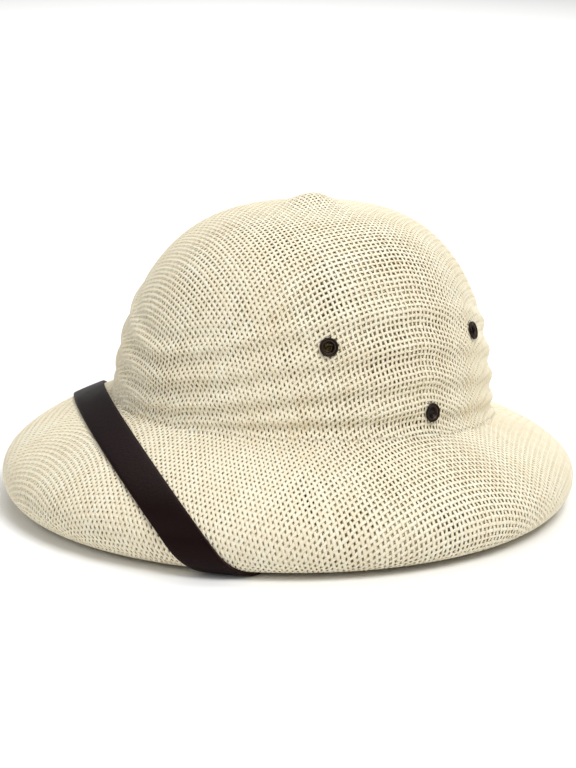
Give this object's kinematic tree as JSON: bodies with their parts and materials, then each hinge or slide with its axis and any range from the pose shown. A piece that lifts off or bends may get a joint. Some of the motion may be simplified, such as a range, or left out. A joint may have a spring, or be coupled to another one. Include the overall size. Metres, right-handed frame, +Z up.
{
  "type": "pith helmet",
  "caption": "Sun helmet of open woven straw with a domed, ribbed crown, a drooping brim with a rolled rim, metal vent eyelets and a leather chin strap.",
  "frame": {"origin": "under the middle of the whole hat, on the surface that it stands on", "axes": "+Z up through the crown, -Y to the wearer's front, +X to the wearer's left"},
  "size_m": [0.3142, 0.3264, 0.1688],
  "materials": {
    "straw": "woven straw, matte",
    "strap_leather": "satin",
    "eyelet_metal": "antiqued, satin"
  },
  "bodies": {
    "root": {"crown_and_brim": "straw", "chin_strap": "strap_leather", "eyelet_front_left": "eyelet_metal", "eyelet_lower_left": "eyelet_metal", "eyelet_rear_left": "eyelet_metal", "eyelet_front_right": "eyelet_metal", "eyelet_lower_right": "eyelet_metal", "eyelet_rear_right": "eyelet_metal"}
  },
  "joints": []
}
